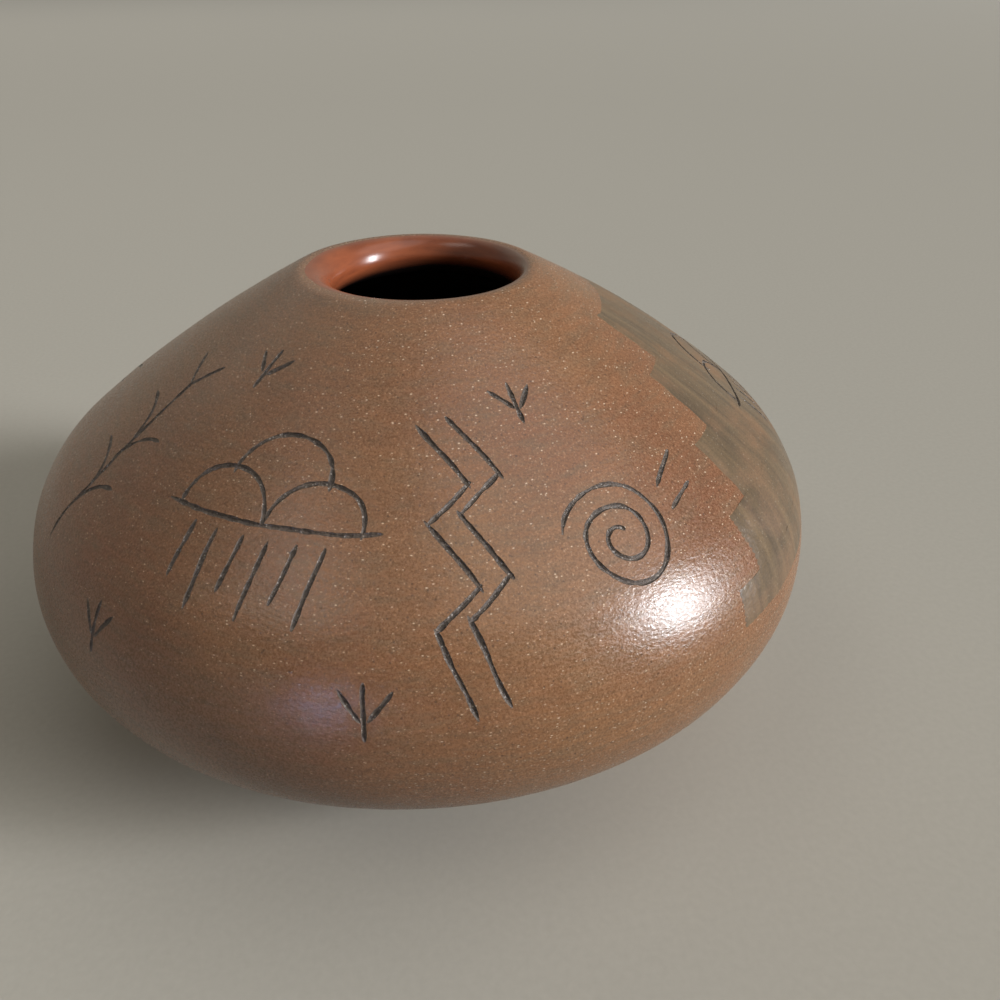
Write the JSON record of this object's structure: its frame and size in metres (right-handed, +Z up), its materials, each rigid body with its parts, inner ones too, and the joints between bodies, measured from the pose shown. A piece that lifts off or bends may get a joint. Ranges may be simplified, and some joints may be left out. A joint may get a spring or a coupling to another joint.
{
  "type": "seed pot",
  "caption": "Squat coil-built seed pot of brown micaceous clay with a small rolled mouth, red slip inside the lip and a grey slip terrace on one side.",
  "frame": {"origin": "middle of the flat foot, on the surface that the pot stands on", "axes": "+Z up through the mouth, -Y towards the viewer, +X towards the side with the grey slip"},
  "size_m": [0.127, 0.127, 0.0763],
  "materials": {
    "micaceous_clay": "burnished satin, mica flecks",
    "red_slip": "burnished slip",
    "grey_slip": "brushed matt slip"
  },
  "bodies": {
    "root": {"base_pan": "micaceous_clay", "under_coil_1": "micaceous_clay", "under_coil_2": "micaceous_clay", "belly_low_coil_1": "micaceous_clay", "belly_high_coil_1": "micaceous_clay", "belly_high_coil_2": "micaceous_clay", "shoulder_coil_1": "micaceous_clay", "shoulder_coil_2": "micaceous_clay", "shoulder_coil_3": "micaceous_clay", "lip_coil": "micaceous_clay", "mouth_slip": "red_slip", "grey_slip_panel": "grey_slip"}
  },
  "joints": []
}
